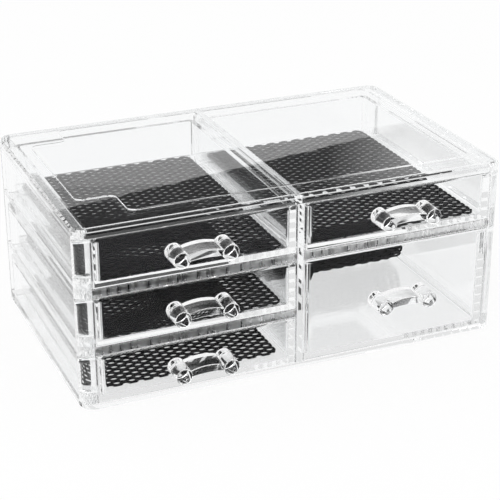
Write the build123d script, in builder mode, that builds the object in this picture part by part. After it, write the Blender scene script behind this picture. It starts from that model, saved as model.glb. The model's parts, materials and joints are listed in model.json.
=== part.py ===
"""Clear two-column makeup organizer with five sliding drawers, in millimetres.

The origin is the centre of the case's underside. +Z is up and the drawers open along -Y.
The left column holds three equal drawers, the right column one of the same size over one twice as high.
"""

import os
from math import cos, dist, pi, radians, sin

from build123d import *

os.makedirs("parts", exist_ok=True)

# Case, outside
case_width = 240.0
case_depth = 150.0
case_height = 100.0
corner_radius = 8.0  # upright corners, in plan
joint_gap = 0.1  # air line between the bonded panels

# Base and top panels
base_thickness = 3.0
base_edge_chamfer = 0.7
top_plate_thickness = 2.6
top_rim_height = 4.2
top_rim_width = 6.0
top_edge_chamfer = 1.2

# Raised plateau on the top, which locates an upper unit; two corners are stepped back
plateau_height = 0.8
plateau_front_margin = 15.5
plateau_back_margin = 9.0
plateau_side_margin = 12.3
plateau_step_width = 20.5
plateau_front_step_depth = 22.5
plateau_back_step_depth = 18.0
plateau_corner_radius = 4.0

# Side panels: a thin skin with thick posts and guide bands round each drawer's pocket
side_thickness = 7.4
side_skin = 3.0
post_depth = 8.5
back_post_depth = 15.0
guide_band = 3.2
pocket_corner_radius = 3.0
post_edge_radius = 0.6

# Back panel, divider and shelves
back_thickness = 3.0
divider_thickness = 4.0
divider_edge_radius = 0.8
shelf_thickness = 2.4
shelf_bar_height = 4.6
shelf_bar_depth = 6.0
shelf_bar_radius = 0.6
tongue_in_side = 1.4
tongue_in_divider = 0.9
tongue_inset = 12.0  # from the front and the back ends of a shelf
groove_clearance = 0.1

# Drawer trays
left_drawer_count = 3
drawer_side_clearance = 0.6
drawer_base_clearance = 0.3
drawer_top_clearance = 0.5
drawer_back_clearance = 0.5
tray_front_wall = 3.0
tray_side_wall = 2.8
tray_back_wall = 2.8
tray_floor = 3.0
tray_rim_drop = 3.0  # sides and back below the front's top edge
tray_front_radius = 1.0
tray_back_radius = 4.0
tray_inner_radius = 2.6

# Handles: two posts joined by an arched strap, held by two pegs
handle_spacing = 26.0
handle_post_diameter = 9.4
handle_projection = 13.5
strap_thickness = 3.0
strap_rise = 2.4
strap_from_front = 0.3
strap_short_of_post = 1.2
peg_diameter = 4.0
peg_clearance = 0.1
peg_short_of_wall = 0.2

# Liners: flat nets in the four small drawers, a rolled one in the large drawer
liner_thickness = 1.2
liner_side_clearance = 3.2
liner_front_clearance = 1.4
liner_back_clearance = 4.0
liner_lift = 0.2
liner_corner_radius = 5.0
net_gap_width = 7.6
net_gap_length = 6.4
net_pitch_x = 13.0
net_pitch_y = 13.0
net_margin = 3.0
bottom_liner_setback = 5.0
roll_radius = 12.0
roll_pitch = 2.2
roll_half_turns = 4
roll_from_front = 92.5

# Levels and places that follow from the sizes above
front_y = -case_depth / 2
back_y = case_depth / 2
top_face_z = case_height - plateau_height
rim_bottom_z = top_face_z - top_rim_height
plate_bottom_z = top_face_z - top_plate_thickness
wall_bottom_z = base_thickness + joint_gap
wall_top_z = rim_bottom_z - joint_gap
wall_height = wall_top_z - wall_bottom_z
side_inner_x = case_width / 2 - side_thickness
column_width = side_inner_x - divider_thickness / 2
column_x = divider_thickness / 2 + column_width / 2
back_panel_y = back_y - back_thickness
opening_height = (
    rim_bottom_z - base_thickness - (left_drawer_count - 1) * shelf_bar_height
) / left_drawer_count
level_pitch = opening_height + shelf_bar_height
levels = [base_thickness + i * level_pitch for i in range(left_drawer_count)]
large_opening_height = levels[-1] - shelf_bar_height - base_thickness
shelf_length = back_panel_y - front_y
shelf_middle_y = front_y + shelf_length / 2
tongue_length = shelf_length - 2 * tongue_inset
drawer_width = column_width - 2 * drawer_side_clearance
drawer_depth = back_panel_y - drawer_back_clearance - front_y
drawer_centre_y = front_y + drawer_depth / 2
tray_inner_width = drawer_width - 2 * tray_side_wall
tray_inner_front = front_y + tray_front_wall
liner_width = tray_inner_width - 2 * liner_side_clearance
liner_front_y = tray_inner_front + liner_front_clearance
liner_back_y = front_y + drawer_depth - tray_back_wall - liner_back_clearance
liner_length = liner_back_y - liner_front_y


def finish(builder, label):
    """Name a finished piece and write it to its own file."""
    builder.part.label = label
    export_step(builder.part, f"parts/{label}.step")


# ---------------------------------------------------------------- case panels


def make_base_panel():
    with BuildPart() as base:
        with BuildSketch():
            RectangleRounded(case_width, case_depth, corner_radius)
        extrude(amount=base_thickness)
        chamfer(base.edges().group_by(Axis.Z)[0], base_edge_chamfer)
    finish(base, "base_panel")


def make_top_panel():
    rim_inner_radius = corner_radius - top_rim_width
    with BuildPart() as top:
        with BuildSketch(Plane.XY.offset(rim_bottom_z)):
            RectangleRounded(case_width, case_depth, corner_radius)
        extrude(amount=top_rim_height)
        chamfer(top.edges().group_by(Axis.Z)[-1], top_edge_chamfer)
        with BuildSketch(Plane.XY.offset(rim_bottom_z)):
            RectangleRounded(
                case_width - 2 * top_rim_width,
                case_depth - 2 * top_rim_width,
                rim_inner_radius,
            )
        extrude(amount=plate_bottom_z - rim_bottom_z, mode=Mode.SUBTRACT)
        left = -case_width / 2 + plateau_side_margin
        right = case_width / 2 - plateau_side_margin
        front = front_y + plateau_front_margin
        back = back_y - plateau_back_margin
        step_x = left + plateau_step_width
        front_step_y = front + plateau_front_step_depth
        back_step_y = back - plateau_back_step_depth
        with BuildSketch(Plane.XY.offset(top_face_z)) as plateau:
            with BuildLine():
                Polyline(
                    (step_x, front),
                    (right, front),
                    (right, back),
                    (step_x, back),
                    (step_x, back_step_y),
                    (left, back_step_y),
                    (left, front_step_y),
                    (step_x, front_step_y),
                    close=True,
                )
            make_face()
            fillet(plateau.vertices(), plateau_corner_radius)
        extrude(amount=plateau_height)
    finish(top, "top_panel")


def make_side_panel(label, side, pockets, shelf_levels):
    """A side panel. side is -1 on the left; pockets are (bottom, height) of the openings beside it."""
    inner_plane = Plane(
        origin=(side * side_inner_x, 0, 0), x_dir=(0, 1, 0), z_dir=(side, 0, 0)
    )
    pocket_front = front_y + post_depth
    pocket_back = back_y - back_post_depth
    with BuildPart() as panel:
        with BuildSketch(Plane.XY.offset(wall_bottom_z)):
            RectangleRounded(case_width, case_depth, corner_radius)
            with Locations((side * (case_width - side_thickness) / 2, 0)):
                Rectangle(side_thickness, case_depth, mode=Mode.INTERSECT)
        extrude(amount=wall_height)
        inner_edges = panel.edges().filter_by(Axis.Z).sort_by(Axis.X)
        front_inner = (inner_edges[:2] if side > 0 else inner_edges[-2:]).sort_by(Axis.Y)[0]
        fillet(front_inner, post_edge_radius)
        for bottom, height in pockets:
            middle_y = (pocket_front + pocket_back) / 2
            middle_z = bottom + height / 2
            up = inner_plane.to_local_coords(Vector(side * side_inner_x, middle_y, middle_z))
            with BuildSketch(inner_plane):
                with Locations((up.X, up.Y)):
                    RectangleRounded(
                        pocket_back - pocket_front,
                        height - 2 * guide_band,
                        pocket_corner_radius,
                    )
            extrude(amount=side_thickness - side_skin, mode=Mode.SUBTRACT)
        for level in shelf_levels:
            groove_z = level - shelf_thickness / 2
            at = inner_plane.to_local_coords(
                Vector(side * side_inner_x, shelf_middle_y, groove_z)
            )
            with BuildSketch(inner_plane):
                with Locations((at.X, at.Y)):
                    Rectangle(
                        tongue_length + 2 * groove_clearance,
                        shelf_thickness + 2 * groove_clearance,
                    )
            extrude(amount=tongue_in_side + groove_clearance, mode=Mode.SUBTRACT)
    finish(panel, label)


def make_back_panel():
    with BuildPart() as back:
        with BuildSketch(Plane.XY.offset(wall_bottom_z)):
            with Locations((0, back_y - back_thickness / 2 + joint_gap / 2)):
                Rectangle(
                    2 * (side_inner_x - joint_gap), back_thickness - joint_gap
                )
        extrude(amount=wall_height)
    finish(back, "back_panel")


def make_centre_divider(left_levels, right_levels):
    length = back_panel_y - front_y
    tongue_front = front_y + top_rim_width + joint_gap
    tongue_back = back_y - top_rim_width - joint_gap
    with BuildPart() as divider:
        with BuildSketch(Plane.XY.offset(wall_bottom_z)):
            with Locations((0, front_y + length / 2)):
                Rectangle(divider_thickness, length)
        extrude(amount=wall_height)
        fillet(
            divider.edges().filter_by(Axis.Z).group_by(Axis.Y)[0], divider_edge_radius
        )
        with BuildSketch(Plane.XY.offset(wall_top_z)):
            with Locations((0, (tongue_front + tongue_back) / 2)):
                Rectangle(divider_thickness, tongue_back - tongue_front)
        extrude(amount=plate_bottom_z - joint_gap - wall_top_z)
        groove_depth = tongue_in_divider + groove_clearance
        for side, shelf_levels in ((-1, left_levels), (1, right_levels)):
            groove_x = side * (divider_thickness - groove_depth) / 2
            for level in shelf_levels:
                with BuildSketch(Plane.XY.offset(level + groove_clearance)):
                    with Locations((groove_x, shelf_middle_y)):
                        Rectangle(groove_depth, tongue_length + 2 * groove_clearance)
                extrude(
                    amount=-(shelf_thickness + 2 * groove_clearance), mode=Mode.SUBTRACT
                )
    finish(divider, "centre_divider")


def make_shelf(label, side, level):
    """A shelf with a deeper bar along its front and a tongue along each side."""
    middle_x = side * column_x
    shelf_width = column_width - 2 * joint_gap
    outer_reach = tongue_in_side + joint_gap
    inner_reach = tongue_in_divider + joint_gap
    with BuildPart() as shelf:
        with BuildSketch(Plane.XY.offset(level)):
            with Locations((middle_x, shelf_middle_y)):
                Rectangle(shelf_width, shelf_length)
                shift = side * (outer_reach - inner_reach) / 2
                with Locations((shift, 0)):
                    Rectangle(shelf_width + outer_reach + inner_reach, tongue_length)
        extrude(amount=-shelf_thickness)
        with BuildSketch(Plane.XY.offset(level)):
            with Locations((middle_x, front_y + shelf_bar_depth / 2)):
                Rectangle(shelf_width, shelf_bar_depth)
        extrude(amount=-shelf_bar_height)
        fillet(
            shelf.edges().filter_by(Axis.X).group_by(Axis.Y)[0], shelf_bar_radius
        )
    finish(shelf, label)


# ---------------------------------------------------------------- drawers


def make_tray(label, side, level, opening):
    """One moulded drawer: floor, three walls with a rounded back, and a taller front."""
    middle_x = side * column_x
    underside = level + drawer_base_clearance
    front_height = opening - drawer_base_clearance - drawer_top_clearance
    wall = front_height - tray_rim_drop
    inner_length = drawer_depth - tray_front_wall - tray_back_wall
    handle_z = underside + front_height / 2
    with BuildPart() as tray:
        with BuildSketch(Plane.XY.offset(underside)) as outline:
            with Locations((middle_x, drawer_centre_y)):
                Rectangle(drawer_width, drawer_depth)
            fillet(outline.vertices().group_by(Axis.Y)[-1], tray_back_radius)
        extrude(amount=wall)
        with BuildSketch(Plane.XY.offset(underside)):
            with Locations((middle_x, front_y + tray_front_wall / 2)):
                Rectangle(drawer_width, tray_front_wall)
        extrude(amount=front_height)
        fillet(tray.faces().sort_by(Axis.Y)[0].edges(), tray_front_radius)
        with BuildSketch(Plane.XY.offset(underside + tray_floor)):
            with Locations((middle_x, tray_inner_front + inner_length / 2)):
                RectangleRounded(tray_inner_width, inner_length, tray_inner_radius)
        extrude(amount=front_height, mode=Mode.SUBTRACT)
        with BuildSketch(Plane.XZ.offset(-front_y)):
            with Locations((middle_x, handle_z)):
                with GridLocations(handle_spacing, 0, 2, 1):
                    Circle(peg_diameter / 2 + peg_clearance)
        extrude(amount=-tray_front_wall, mode=Mode.SUBTRACT)
    finish(tray, label)
    return handle_z


def make_handle(label, side, handle_z):
    """Two round posts and the strap between them, which bows upwards."""
    middle_x = side * column_x
    half_span = handle_spacing / 2
    half_strap = strap_thickness / 2
    strap_depth = handle_projection - strap_from_front - strap_short_of_post
    with BuildPart() as handle:
        with BuildSketch(Plane.XZ.offset(-front_y)):
            with Locations((middle_x, handle_z)):
                with GridLocations(handle_spacing, 0, 2, 1):
                    Circle(handle_post_diameter / 2)
        extrude(amount=handle_projection)
        with BuildSketch(Plane.XZ.offset(-front_y + strap_from_front)):
            with BuildLine():
                upper = ThreePointArc(
                    (middle_x - half_span, handle_z + half_strap),
                    (middle_x, handle_z + half_strap + strap_rise),
                    (middle_x + half_span, handle_z + half_strap),
                )
                lower = ThreePointArc(
                    (middle_x - half_span, handle_z - half_strap),
                    (middle_x, handle_z - half_strap + strap_rise),
                    (middle_x + half_span, handle_z - half_strap),
                )
                Line(upper @ 0, lower @ 0)
                Line(upper @ 1, lower @ 1)
            make_face()
        extrude(amount=strap_depth)
        with BuildSketch(Plane.XZ.offset(-front_y)):
            with Locations((middle_x, handle_z)):
                with GridLocations(handle_spacing, 0, 2, 1):
                    Circle(peg_diameter / 2)
        extrude(amount=-(tray_front_wall - peg_short_of_wall))
    finish(handle, label)


def net_gaps(width, length):
    """Centres of the staggered gaps of a net, about the net's own centre."""
    columns = int((width - 2 * net_margin - net_gap_width) / net_pitch_x) + 1
    rows = int((length - 2 * net_margin - net_gap_length) / net_pitch_y) + 1
    centres = []
    for row in range(rows):
        in_row = columns - row % 2
        y = (row - (rows - 1) / 2) * net_pitch_y
        for column in range(in_row):
            centres.append(((column - (in_row - 1) / 2) * net_pitch_x, y))
    return centres


def make_liner(label, side, level, setback):
    """A flat net with rounded corners; setback is how far it lies behind the drawer's front."""
    length = liner_length - setback
    seat = level + drawer_base_clearance + tray_floor + liner_lift
    with BuildPart() as net:
        with BuildSketch(Plane.XY.offset(seat)):
            with Locations((side * column_x, liner_back_y - length / 2)):
                RectangleRounded(liner_width, length, liner_corner_radius)
                with Locations(net_gaps(liner_width, length)):
                    Polygon(
                        (-net_gap_width / 2, 0),
                        (0, -net_gap_length / 2),
                        (net_gap_width / 2, 0),
                        (0, net_gap_length / 2),
                        align=None,
                        mode=Mode.SUBTRACT,
                    )
        extrude(amount=liner_thickness)
    finish(net, label)


def make_rolled_liner(label, side, level):
    """The same net rolled up, lying across the floor: half turns whose radius shrinks by half a pitch."""
    seat = level + drawer_base_clearance + tray_floor + liner_lift
    centre_y = front_y + roll_from_front
    centre_z = seat + roll_radius
    left_end = side * column_x - liner_width / 2
    outer_radii = [roll_radius - k * roll_pitch / 2 for k in range(roll_half_turns)]
    middle_line = []
    half_turn_points = 18  # where the gap between the turns is measured
    with BuildPart() as roll:
        with BuildSketch(Plane.YZ.offset(left_end)):
            with BuildLine():
                y, z = centre_y, centre_z
                for k, outer in enumerate(outer_radii):
                    start = -90 + 180 * k
                    outside = CenterArc((y, z), outer, start, 180)
                    inside = CenterArc((y, z), outer - liner_thickness, start, 180)
                    if k == 0:
                        Line(outside @ 0, inside @ 0)
                    for step in range(half_turn_points):
                        angle = radians(start + 180 * step / half_turn_points)
                        radius = outer - liner_thickness / 2
                        middle_line.append((y + radius * cos(angle), z + radius * sin(angle)))
                    z += roll_pitch / 2 * (1 if k % 2 == 0 else -1)
                Line(outside @ 1, inside @ 1)
            make_face()
        extrude(amount=liner_width)
    finish(roll, label)
    gaps = [
        dist(a, b) - liner_thickness
        for i, a in enumerate(middle_line)
        for b in middle_line[i + half_turn_points + 1 :]
    ]
    sheet = pi * sum(outer - liner_thickness / 2 for outer in outer_radii)
    print(f"rolled liner: least gap {min(gaps):.2f} mm, sheet {sheet:.0f} x {liner_width:.0f} mm")


# ---------------------------------------------------------------- build

small_openings = [(level, opening_height) for level in levels]
large_opening = (base_thickness, large_opening_height)

make_base_panel()
make_top_panel()
make_side_panel("left_side_panel", -1, small_openings, levels[1:])
make_side_panel("right_side_panel", 1, [large_opening, small_openings[-1]], levels[-1:])
make_back_panel()
make_centre_divider(levels[1:], levels[-1:])
make_shelf("left_shelf_lower", -1, levels[1])
make_shelf("left_shelf_upper", -1, levels[2])
make_shelf("right_shelf", 1, levels[-1])

drawers = {
    "left_bottom": (-1, levels[0], opening_height),
    "left_middle": (-1, levels[1], opening_height),
    "left_top": (-1, levels[2], opening_height),
    "right_top": (1, levels[-1], opening_height),
    "right_large": (1, base_thickness, large_opening_height),
}
for name, (side, level, opening) in drawers.items():
    handle_height = make_tray(f"{name}_tray", side, level, opening)
    make_handle(f"{name}_handle", side, handle_height)
    if name == "right_large":
        make_rolled_liner(f"{name}_liner", side, level)
    else:
        setback = bottom_liner_setback if name == "left_bottom" else 0
        make_liner(f"{name}_liner", side, level, setback)
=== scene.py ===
"""Looks of the clear makeup organizer: polished acrylic, foam-net liners and a plain white studio."""

import json
from math import atan2, cos, pi, radians, sin

import bmesh
import bpy
from mathutils import Matrix, Vector


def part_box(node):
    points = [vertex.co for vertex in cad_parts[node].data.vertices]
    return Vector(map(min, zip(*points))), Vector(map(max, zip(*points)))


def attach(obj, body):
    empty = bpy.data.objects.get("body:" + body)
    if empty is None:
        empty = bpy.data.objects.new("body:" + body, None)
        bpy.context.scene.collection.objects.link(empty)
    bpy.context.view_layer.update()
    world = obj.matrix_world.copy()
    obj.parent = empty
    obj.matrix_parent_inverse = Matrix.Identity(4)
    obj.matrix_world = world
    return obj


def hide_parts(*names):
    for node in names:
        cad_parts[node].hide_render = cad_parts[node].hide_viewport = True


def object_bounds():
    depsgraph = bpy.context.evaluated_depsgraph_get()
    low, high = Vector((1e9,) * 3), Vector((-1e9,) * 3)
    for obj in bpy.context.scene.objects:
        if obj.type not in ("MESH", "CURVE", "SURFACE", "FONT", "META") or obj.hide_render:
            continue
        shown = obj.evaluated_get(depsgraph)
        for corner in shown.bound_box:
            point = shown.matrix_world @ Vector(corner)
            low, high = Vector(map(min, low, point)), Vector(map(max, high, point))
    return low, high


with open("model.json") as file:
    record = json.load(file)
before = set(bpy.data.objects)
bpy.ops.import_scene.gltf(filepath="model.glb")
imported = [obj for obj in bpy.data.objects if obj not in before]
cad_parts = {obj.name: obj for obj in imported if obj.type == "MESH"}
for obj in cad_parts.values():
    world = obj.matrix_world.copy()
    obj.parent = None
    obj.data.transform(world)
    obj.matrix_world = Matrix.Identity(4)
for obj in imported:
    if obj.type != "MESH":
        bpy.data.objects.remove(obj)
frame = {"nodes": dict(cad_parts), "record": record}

MM = 0.001
cad_low, cad_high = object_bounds()

# ---------------------------------------------------------------- camera

IMAGE_PIXELS = 500
SENSOR_MM = 36.0
FOCAL_PIXELS = 1443.5
CAMERA_YAW = radians(23.28)  # to the right of the case's own depth direction
CAMERA_PITCH = radians(24.36)  # downwards
CAMERA_PLACE = Vector((-0.2923, -0.6876, 0.3762))


def make_camera():
    """The photograph's view, from the front left and above."""
    data = bpy.data.cameras.new("camera")
    data.sensor_width = SENSOR_MM
    data.lens = FOCAL_PIXELS / IMAGE_PIXELS * SENSOR_MM
    data.clip_start, data.clip_end = 0.01, 20
    camera = bpy.data.objects.new("camera", data)
    bpy.context.scene.collection.objects.link(camera)
    camera.location = CAMERA_PLACE
    ahead = Vector((
        sin(CAMERA_YAW) * cos(CAMERA_PITCH),
        cos(CAMERA_YAW) * cos(CAMERA_PITCH),
        -sin(CAMERA_PITCH),
    ))
    camera.rotation_euler = ahead.to_track_quat("-Z", "Y").to_euler()
    bpy.context.scene.camera = camera


# ---------------------------------------------------------------- materials

ACRYLIC_IOR = 1.49
GLARE = 0.1  # share of the head-on reflections that is kept, as through a polarising filter
SHADOW_SHARE = 0.93  # lamp light that each surface lets through
CASE_TINT = (0.97, 0.974, 0.976)
DRAWER_TINT = (0.993, 0.995, 0.996)
HANDLE_TINT = (0.997, 0.998, 0.999)
SHELF_TINT = (0.989, 0.991, 0.993)
PANEL_WAVES, PANEL_WAVE_HEIGHT = 60, 0.005 * MM  # waves per metre
HANDLE_WAVES, HANDLE_WAVE_HEIGHT = 120, 0.01 * MM
SHELF_BAR_REACH = 20.0 * MM  # from the handles' front ends to just behind the shelves' front bars
STREAKS_PER_METRE = 380
STREAK_ROUGHNESS = (0.03, 0.7)
FOAM_SHADES = ((0.006, 0.006, 0.007, 1), (0.022, 0.022, 0.024, 1))
FOAM_PORES, FOAM_PORE_DEPTH = 3000, 0.15 * MM


def new_material(name):
    material = bpy.data.materials.new(name)
    material.use_nodes = True
    nodes = material.node_tree.nodes
    return material, nodes, material.node_tree.links, nodes["Principled BSDF"], nodes["Material Output"]


def noise(nodes, links, scale, detail=2.0, stretch=None):
    """Noise in the object's own coordinates, in waves per metre."""
    texture = nodes.new("ShaderNodeTexNoise")
    texture.inputs["Scale"].default_value = scale
    texture.inputs["Detail"].default_value = detail
    place = nodes.new("ShaderNodeTexCoord")
    if stretch is None:
        links.new(place.outputs["Object"], texture.inputs["Vector"])
    else:
        mapping = nodes.new("ShaderNodeMapping")
        mapping.inputs["Scale"].default_value = stretch
        links.new(place.outputs["Object"], mapping.inputs["Vector"])
        links.new(mapping.outputs["Vector"], texture.inputs["Vector"])
    return texture.outputs["Fac"]


def math_node(nodes, links, operation, *values):
    node = nodes.new("ShaderNodeMath")
    node.operation = operation
    for socket, value in zip(node.inputs, values):
        if isinstance(value, (int, float)):
            socket.default_value = value
        else:
            links.new(value, socket)
    return node.outputs[0]


def clear_plastic(name, tint, wave_scale, wave_height):
    """Polished acrylic that lets lamp light through, with the faint waviness of a moulding."""
    material, nodes, links, shader, output = new_material(name)
    shader.inputs["Base Color"].default_value = (*tint, 1)
    shader.inputs["Roughness"].default_value = 0.0
    shader.inputs["IOR"].default_value = ACRYLIC_IOR
    shader.inputs["Specular Tint"].default_value = (GLARE, GLARE, GLARE, 1)
    shader.inputs["Transmission Weight"].default_value = 1.0
    bump = nodes.new("ShaderNodeBump")
    bump.inputs["Distance"].default_value = wave_height
    bump.inputs["Strength"].default_value = 1.0
    links.new(noise(nodes, links, wave_scale), bump.inputs["Height"])
    links.new(bump.outputs["Normal"], shader.inputs["Normal"])
    through = nodes.new("ShaderNodeBsdfTransparent")
    through.inputs["Color"].default_value = (SHADOW_SHARE, SHADOW_SHARE, SHADOW_SHARE, 1)
    path = nodes.new("ShaderNodeLightPath")
    mix = nodes.new("ShaderNodeMixShader")
    links.new(path.outputs["Is Shadow Ray"], mix.inputs[0])
    links.new(shader.outputs[0], mix.inputs[1])
    links.new(through.outputs[0], mix.inputs[2])
    links.new(mix.outputs[0], output.inputs["Surface"])
    return material


def foam_net(name):
    """Black foam: matt, with fine pores and slight changes of shade."""
    material, nodes, links, shader, output = new_material(name)
    ramp = nodes.new("ShaderNodeValToRGB")
    for element, shade in zip(ramp.color_ramp.elements, FOAM_SHADES):
        element.color = shade
    links.new(noise(nodes, links, 900, 4), ramp.inputs["Fac"])
    links.new(ramp.outputs["Color"], shader.inputs["Base Color"])
    shader.inputs["Roughness"].default_value = 0.85
    shader.inputs["Specular IOR Level"].default_value = 0.1
    bump = nodes.new("ShaderNodeBump")
    bump.inputs["Distance"].default_value = FOAM_PORE_DEPTH
    links.new(noise(nodes, links, FOAM_PORES, 3), bump.inputs["Height"])
    links.new(bump.outputs["Normal"], shader.inputs["Normal"])
    return material


def satin_bar(material, back_y):
    """Makes what lies in front of back_y satin, with upright streaks; the plate behind stays clear."""
    nodes, links = material.node_tree.nodes, material.node_tree.links
    place = nodes.new("ShaderNodeTexCoord")
    split = nodes.new("ShaderNodeSeparateXYZ")
    links.new(place.outputs["Object"], split.inputs[0])
    bar = math_node(nodes, links, "LESS_THAN", split.outputs["Y"], back_y)
    rough = nodes.new("ShaderNodeMapRange")
    rough.inputs["From Min"].default_value, rough.inputs["From Max"].default_value = 0.4, 0.6
    rough.inputs["To Min"].default_value, rough.inputs["To Max"].default_value = STREAK_ROUGHNESS
    links.new(noise(nodes, links, 1.0, 2.0, (STREAKS_PER_METRE, 0, 0)), rough.inputs["Value"])
    masked = math_node(nodes, links, "MULTIPLY", rough.outputs["Result"], bar)
    links.new(masked, nodes["Principled BSDF"].inputs["Roughness"])


# ---------------------------------------------------------------- handles

HANDLE_SPACING = 26.0 * MM
HANDLE_GAP = 0.04 * MM  # between a post's foot and the drawer's front
POST_FOOT, POST_TIP = 4.7 * MM, 4.35 * MM  # radii
PEG_RADIUS, PEG_LENGTH, PEG_CHAMFER = 2.0 * MM, 2.7 * MM, 0.3 * MM
EDGE_ROUND, EDGE_STEPS = 0.55 * MM, 4
LATHE_STEPS = 72
STRAP_BACK, STRAP_FRONT = 0.3 * MM, 12.5 * MM
STRAP_TOP, STRAP_TOP_RISE = 1.2 * MM, 2.7 * MM
STRAP_BOTTOM, STRAP_BOTTOM_RISE = -2.3 * MM, 1.3 * MM
STRAP_CROWN = 0.5 * MM  # the top falls by this much from the drawer to the front edge
STRAP_NOSE = 0.8 * MM  # radius of the two front edges
STRAP_STATIONS, STRAP_STEPS, NOSE_STEPS = 32, 14, 8


def mesh_object(name, bm):
    """A new object from bm, with its faces turned outwards."""
    bmesh.ops.recalc_face_normals(bm, faces=bm.faces)
    mesh = bpy.data.meshes.new(name)
    bm.to_mesh(mesh)
    bm.free()
    piece = bpy.data.objects.new(name, mesh)
    bpy.context.scene.collection.objects.link(piece)
    return piece


def post_profile(reach):
    """Radius and distance in front of the drawer, from the peg's end to the post's tip."""
    peg = [
        (0, -PEG_LENGTH),
        (PEG_RADIUS - PEG_CHAMFER, -PEG_LENGTH),
        (PEG_RADIUS, PEG_CHAMFER - PEG_LENGTH),
        (PEG_RADIUS, HANDLE_GAP),
    ]
    turns = [pi / 2 * i / EDGE_STEPS for i in range(EDGE_STEPS + 1)]
    foot = [
        (POST_FOOT - EDGE_ROUND * (1 - sin(turn)), HANDLE_GAP + EDGE_ROUND * (1 - cos(turn)))
        for turn in turns
    ]
    tip = [
        (POST_TIP - EDGE_ROUND * (1 - cos(turn)), reach - EDGE_ROUND * (1 - sin(turn)))
        for turn in turns
    ]
    return [*peg, *foot, *tip, (0, reach)]


def lathe(name, middle_x, profile):
    """A closed solid of revolution about an axis along -Y."""
    bm = bmesh.new()
    rings = []
    for radius, reach in profile:
        count = LATHE_STEPS if radius > 0 else 1
        rings.append([
            bm.verts.new((
                middle_x + radius * cos(2 * pi * i / count), -reach, radius * sin(2 * pi * i / count),
            ))
            for i in range(count)
        ])
    for a, b in zip(rings, rings[1:]):
        for i in range(LATHE_STEPS):
            j = (i + 1) % LATHE_STEPS
            corners = [a[i % len(a)], a[j % len(a)], b[j % len(b)], b[i % len(b)]]
            bm.faces.new(list(dict.fromkeys(corners)))
    return mesh_object(name, bm)


def strap_section(share):
    """Reach and height round the strap's section, share being 1 at mid-span and 0 over the posts."""
    top = STRAP_TOP + STRAP_TOP_RISE * share
    bottom = STRAP_BOTTOM + STRAP_BOTTOM_RISE * share
    flat_end = STRAP_FRONT - STRAP_NOSE
    loop = []
    for i in range(STRAP_STEPS + 1):
        part = i / STRAP_STEPS
        loop.append((STRAP_BACK + (flat_end - STRAP_BACK) * part, top - STRAP_CROWN * part**2))
    for corner, start in ((top - STRAP_CROWN - STRAP_NOSE, pi / 2), (bottom + STRAP_NOSE, 0)):
        for i in range(1, NOSE_STEPS):
            turn = start - pi / 2 * i / NOSE_STEPS
            loop.append((flat_end + STRAP_NOSE * cos(turn), corner + STRAP_NOSE * sin(turn)))

    for i in range(STRAP_STEPS + 1):
        part = 1 - i / STRAP_STEPS
        loop.append((STRAP_BACK + (flat_end - STRAP_BACK) * part, bottom))
    return loop


def strap_object(name):
    """The strap from post to post: sections along X, closed at both ends."""
    bm = bmesh.new()
    rings = []
    for i in range(STRAP_STATIONS + 1):
        side = 2 * i / STRAP_STATIONS - 1
        rings.append([
            bm.verts.new((side * HANDLE_SPACING / 2, -reach, height))
            for reach, height in strap_section(1 - side**2)
        ])
    for a, b in zip(rings, rings[1:]):
        for i in range(len(a)):
            j = (i + 1) % len(a)
            bm.faces.new((a[i], a[j], b[j], b[i]))
    bm.faces.new(rings[0])
    bm.faces.new(rings[-1])
    return mesh_object(name, bm)


def handle_mesh(reach):
    """Two turned posts with pegs and the arched strap between them, joined into one solid."""
    profile = post_profile(reach)
    whole = strap_object("strap_form")
    posts = [lathe("post_form", side * HANDLE_SPACING / 2, profile) for side in (-1, 1)]
    for post in posts:
        union = whole.modifiers.new("join", "BOOLEAN")
        union.operation = "UNION"
        union.solver = "EXACT"
        union.object = post
    graph = bpy.context.evaluated_depsgraph_get()
    mesh = bpy.data.meshes.new_from_object(whole.evaluated_get(graph))
    for form in [whole, *posts]:
        bpy.data.objects.remove(form)
    mesh.materials.clear()
    mesh.shade_smooth()
    mesh.set_sharp_from_angle(angle=radians(32))
    return mesh


def add_handle(drawer, form, material):
    """One drawer's handle, in place of its plain solid."""
    node = f"{drawer}_handle"
    low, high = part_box(node)
    front_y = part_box(f"{drawer}_tray")[0].y
    mesh = form.copy()
    mesh.name = f"{drawer}_grip"
    mesh.transform(Matrix.Translation(((low.x + high.x) / 2, front_y, (low.z + high.z) / 2)))
    mesh.materials.append(material)
    piece = bpy.data.objects.new(f"{drawer}_grip", mesh)
    bpy.context.scene.collection.objects.link(piece)
    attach(piece, f"{drawer}_drawer")
    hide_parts(node)


# ---------------------------------------------------------------- net liners

NET_PITCH = 8.3 * MM  # from one opening to the next in a row
NET_ROW = 2.4 * MM  # from row to row, each shifted by half a pitch
CELL_REACH = 2.0 * MM  # from a cell's centre to its front and back corners
OPENING_X, OPENING_Y = 1.6 * MM, 0.95 * MM  # half sizes
NET_THICKNESS = 0.9 * MM
NET_CORNER = 5.0 * MM
# A strand's section from its ridge over the opening's edge to its underside:
# share of the way from the opening to the cell's border, and share of the thickness
STRAND = ((1.0, 1.0), (0.5, 0.94), (0.12, 0.7), (0.0, 0.4), (0.3, 0.05), (1.0, 0.0))


def cell_border():
    """Six-sided cell with a point half way along each slanted side."""
    half, waist = NET_PITCH / 2, NET_ROW - CELL_REACH
    middle = (waist + CELL_REACH) / 2
    front = [
        (-half, -waist), (-half / 2, -middle), (0, -CELL_REACH), (half / 2, -middle), (half, -waist),
    ]
    return front + [(-x, -y) for x, y in front]


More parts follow.
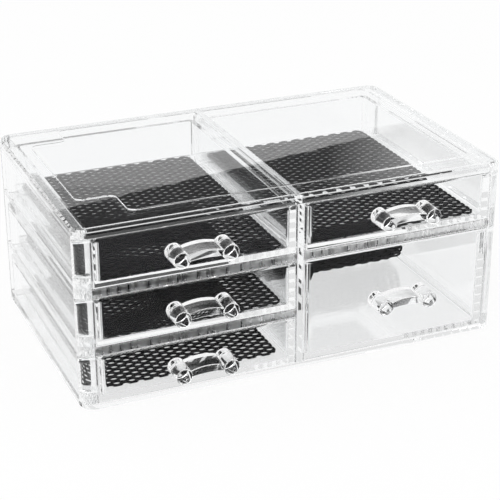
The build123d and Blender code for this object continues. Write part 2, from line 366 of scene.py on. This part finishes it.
def trim(bm, x, y, turn):
    """Cuts away what lies beyond the upright plane through (x, y) that faces along turn."""
    outward = Vector((cos(turn), sin(turn), 0))
    place = Vector((x, y, 0))
    near = [face for face in bm.faces if (face.calc_center_median() - place).dot(outward) > -NET_PITCH]
    around = {edge for face in near for edge in face.edges}
    corners = {vertex for face in near for vertex in face.verts}
    bmesh.ops.bisect_plane(
        bm, geom=[*near, *around, *corners], dist=1e-7,
        plane_co=place, plane_no=outward, clear_outer=True,
    )


def net_mesh(name, width, length, lay):
    """A foam net with a round-edged opening in each cell. lay(x, y, h) puts a flat point in place."""
    bm = bmesh.new()
    known = {}

    def vertex(x, y, h):
        key = (round(x * 1e6), round(y * 1e6), round(h * 1e6))
        if key not in known:
            known[key] = bm.verts.new((x, y, h))
        return known[key]

    border = cell_border()
    rows = int((length / 2 + CELL_REACH) / NET_ROW) + 1
    columns = int(width / 2 / NET_PITCH) + 2
    for row in range(-rows, rows + 1):
        for column in range(-columns, columns + 1):
            cx, cy = (column + row % 2 / 2) * NET_PITCH, row * NET_ROW
            if abs(cx) > (width + NET_PITCH) / 2:
                continue
            rings = []
            for share, height in STRAND:
                ring = []
                for bx, by in border:
                    angle = atan2(by / CELL_REACH, bx * 2 / NET_PITCH)
                    ox, oy = OPENING_X * cos(angle), OPENING_Y * sin(angle)
                    ring.append(vertex(
                        cx + ox + (bx - ox) * share, cy + oy + (by - oy) * share, NET_THICKNESS * height,
                    ))
                rings.append(ring)
            for inner, outer in zip(rings[1:], rings):
                for i in range(len(border)):
                    j = (i + 1) % len(border)
                    bm.faces.new((outer[i], outer[j], inner[j], inner[i]))
    for turn in (0, pi / 2, pi, 3 * pi / 2):
        trim(bm, width / 2 * cos(turn), length / 2 * sin(turn), turn)
    for sx in (-1, 1):
        for sy in (-1, 1):
            for bend in (radians(30), radians(60)):
                turn = atan2(sy * sin(bend), sx * cos(bend))
                trim(
                    bm, sx * (width / 2 - NET_CORNER) + NET_CORNER * cos(turn),
                    sy * (length / 2 - NET_CORNER) + NET_CORNER * sin(turn), turn,
                )
    bmesh.ops.holes_fill(bm, edges=[edge for edge in bm.edges if len(edge.link_faces) == 1], sides=0)
    for point in bm.verts:
        point.co = lay(*point.co)
    bmesh.ops.recalc_face_normals(bm, faces=bm.faces)
    for face in bm.faces:
        face.smooth = True
    area = sum(face.calc_area() for face in bm.faces) / 2
    mesh = bpy.data.meshes.new(name)
    bm.to_mesh(mesh)
    bm.free()
    mesh.set_sharp_from_angle(angle=radians(60))
    return mesh, area


def add_net(drawer, width, length, lay, material):
    """The net of one drawer, width by length before it is laid, in place of the drawer's plain liner."""
    mesh, area = net_mesh(f"{drawer}_net", width, length, lay)
    mesh.materials.append(material)
    piece = bpy.data.objects.new(f"{drawer}_net", mesh)
    bpy.context.scene.collection.objects.link(piece)
    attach(piece, f"{drawer}_drawer")
    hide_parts(f"{drawer}_liner")


def add_flat_liner(drawer, material):
    low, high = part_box(f"{drawer}_liner")
    middle, extent = (low + high) / 2, high - low

    def lay(x, y, h):
        return Vector((middle.x + x, middle.y + y, low.z + h))

    add_net(drawer, extent.x, extent.y, lay, material)


ROLL_HALF_TURNS = 4
ROLL_PITCH = 2.2 * MM


def add_rolled_liner(drawer, material):
    """A net rolled up in half turns, each smaller than the one round it by half a pitch."""
    low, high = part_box(f"{drawer}_liner")
    radii = [(high.z - low.z) / 2 - i * ROLL_PITCH / 2 for i in range(ROLL_HALF_TURNS)]
    radius = radii[0]
    centre_y, centre_z = high.y - radius, low.z + radius
    spans, centres = [], []
    z = centre_z
    for i, outer in enumerate(radii):
        spans.append(pi * (outer - NET_THICKNESS / 2))
        centres.append(z)
        z += ROLL_PITCH / 2 * (1 if i % 2 == 0 else -1)
    length = sum(spans)

    def lay(x, y, h):
        along, i = y + length / 2, 0
        while i < ROLL_HALF_TURNS - 1 and along > spans[i]:
            along -= spans[i]
            i += 1
        angle = pi * (i - 0.5 + along / spans[i])
        reach = radii[i] - h
        return Vector((
            (low.x + high.x) / 2 + x,
            centre_y + reach * cos(angle),
            centres[i] + reach * sin(angle),
        ))

    add_net(drawer, high.x - low.x, length, lay, material)


# ---------------------------------------------------------------- studio


FLOOR_RADIUS = 4.0
FLOOR_DROP = 0.2 * MM  # below the object's underside
FLOOR_SHADE = (0.97, 0.97, 0.97, 1)
FLOOR_GLOW = 0.9  # share of even white as the camera sees it; the rest shows the shadow


def make_floor():
    """A wide white sheet that shows the object's soft shadow."""
    bm = bmesh.new()
    bmesh.ops.create_circle(bm, cap_ends=True, segments=96, radius=FLOOR_RADIUS)
    mesh = bpy.data.meshes.new("floor")
    bm.to_mesh(mesh)
    bm.free()
    floor = bpy.data.objects.new("floor", mesh)
    bpy.context.scene.collection.objects.link(floor)
    floor.location.z = cad_low.z - FLOOR_DROP
    material, nodes, links, shader, output = new_material("floor_white")
    shader.inputs["Base Color"].default_value = FLOOR_SHADE
    shader.inputs["Roughness"].default_value = 1.0
    shader.inputs["Specular IOR Level"].default_value = 0.0
    glow = nodes.new("ShaderNodeEmission")
    glow.inputs["Strength"].default_value = 1.0
    path = nodes.new("ShaderNodeLightPath").outputs
    seen = math_node(nodes, links, "MAXIMUM", path["Is Camera Ray"], path["Is Transmission Ray"])
    seen = math_node(nodes, links, "MAXIMUM", seen, path["Is Glossy Ray"])
    share = math_node(nodes, links, "MULTIPLY", seen, FLOOR_GLOW)
    mix = nodes.new("ShaderNodeMixShader")
    links.new(share, mix.inputs[0])
    links.new(shader.outputs[0], mix.inputs[1])
    links.new(glow.outputs[0], mix.inputs[2])
    links.new(mix.outputs[0], output.inputs["Surface"])
    mesh.materials.append(material)


ROOM_LEVEL = 0.8  # above the white backdrop
BACKDROP_TOP = 0.37  # sine of the elevation where the backdrop ends
CARD_LEVEL = 0.1  # dark card behind the object, to the right, that the polished top mirrors
CARD_FACING = (0.074, -0.411, 0.908)  # square to the plane through the card's slanting lower edge
CARD_TOP = 0.45  # sine of the elevation
CARD_RIGHT = (0.5, 0.58)  # x / y where the card fades out


def make_world():
    """A white backdrop low down, a pale room above it and a dark card behind the object."""
    world = bpy.data.worlds.new("studio")
    bpy.context.scene.world = world
    world.use_nodes = True
    nodes, links = world.node_tree.nodes, world.node_tree.links
    background = nodes["Background"]
    place = nodes.new("ShaderNodeTexCoord")
    split = nodes.new("ShaderNodeSeparateXYZ")
    links.new(place.outputs["Generated"], split.inputs[0])
    facing = nodes.new("ShaderNodeVectorMath")
    facing.operation = "DOT_PRODUCT"
    facing.inputs[1].default_value = CARD_FACING
    links.new(place.outputs["Generated"], facing.inputs[0])
    card = math_node(nodes, links, "GREATER_THAN", facing.outputs["Value"], 0.0)
    for operation, axis, limit in (
        ("GREATER_THAN", "X", 0.0), ("GREATER_THAN", "Y", 0.0), ("LESS_THAN", "Z", CARD_TOP),
    ):
        within = math_node(nodes, links, operation, split.outputs[axis], limit)
        card = math_node(nodes, links, "MULTIPLY", card, within)
    sideways = math_node(nodes, links, "DIVIDE", split.outputs["X"], split.outputs["Y"])
    fade = nodes.new("ShaderNodeMapRange")
    links.new(sideways, fade.inputs["Value"])
    fade.inputs["From Min"].default_value, fade.inputs["From Max"].default_value = CARD_RIGHT
    fade.inputs["To Min"].default_value, fade.inputs["To Max"].default_value = 1.0, 0.0
    card = math_node(nodes, links, "MULTIPLY", card, fade.outputs["Result"])
    room = math_node(nodes, links, "GREATER_THAN", split.outputs["Z"], BACKDROP_TOP)
    around = math_node(nodes, links, "MULTIPLY_ADD", room, ROOM_LEVEL - 1.0, 1.0)
    light = math_node(nodes, links, "SUBTRACT", 1.0, card)
    level = math_node(nodes, links, "MULTIPLY", around, light)
    level = math_node(nodes, links, "MULTIPLY_ADD", card, CARD_LEVEL, level)
    path = nodes.new("ShaderNodeLightPath")
    level = math_node(nodes, links, "MAXIMUM", level, path.outputs["Is Camera Ray"])
    links.new(level, background.inputs["Color"])
    background.inputs["Strength"].default_value = 1.0


LAMP_PLACE, LAMP_AIM = Vector((-0.9, -0.7, 1.3)), Vector((0, 0, 0.05))
LAMP_SIDE = 0.8
LAMP_WATTS = 8


def add_lamp():
    """One soft lamp, high on the left."""
    data = bpy.data.lights.new("key", "AREA")
    data.size = LAMP_SIDE
    data.energy = LAMP_WATTS
    lamp = bpy.data.objects.new("key", data)
    bpy.context.scene.collection.objects.link(lamp)
    lamp.location = LAMP_PLACE
    lamp.rotation_euler = (LAMP_AIM - LAMP_PLACE).to_track_quat("-Z", "Y").to_euler()


CLEAR_BOUNCES, DIFFUSE_BOUNCES = 120, 4


def let_light_run():
    """Enough bounces for light that runs far inside the panels' edges."""
    cycles = bpy.context.scene.cycles
    cycles.max_bounces = CLEAR_BOUNCES
    cycles.transmission_bounces = CLEAR_BOUNCES
    cycles.glossy_bounces = CLEAR_BOUNCES
    cycles.diffuse_bounces = DIFFUSE_BOUNCES
    cycles.transparent_max_bounces = CLEAR_BOUNCES


# ---------------------------------------------------------------- the scene

SMALL_DRAWERS = ("left_bottom", "left_middle", "left_top", "right_top")
LARGE_DRAWER = "right_large"

make_camera()

acrylic = {
    "clear_case": clear_plastic("case_acrylic", CASE_TINT, PANEL_WAVES, PANEL_WAVE_HEIGHT),
    "clear_drawer": clear_plastic("drawer_acrylic", DRAWER_TINT, PANEL_WAVES, PANEL_WAVE_HEIGHT),
    "clear_handle": clear_plastic("handle_acrylic", HANDLE_TINT, HANDLE_WAVES, HANDLE_WAVE_HEIGHT),
}
shelf_acrylic = clear_plastic("shelf_acrylic", SHELF_TINT, PANEL_WAVES, PANEL_WAVE_HEIGHT)
satin_bar(shelf_acrylic, cad_low.y + SHELF_BAR_REACH)
slot_of = {row["node"]: row["material_slot"] for row in frame["record"]["subparts"]}
for node, piece in frame["nodes"].items():
    material = shelf_acrylic if "shelf" in node else acrylic.get(slot_of[node])
    if material:
        for slot in piece.material_slots:
            slot.link = "OBJECT"
            slot.material = material

handle_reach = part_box("left_bottom_tray")[0].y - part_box("left_bottom_handle")[0].y
handle_form = handle_mesh(handle_reach)
for drawer in (*SMALL_DRAWERS, LARGE_DRAWER):
    add_handle(drawer, handle_form, acrylic["clear_handle"])

net = foam_net("black_foam_net")
for drawer in SMALL_DRAWERS:
    add_flat_liner(drawer, net)
add_rolled_liner(LARGE_DRAWER, net)

make_floor()
make_world()
add_lamp()
let_light_run()
bpy.context.scene.view_settings.view_transform = "Standard"
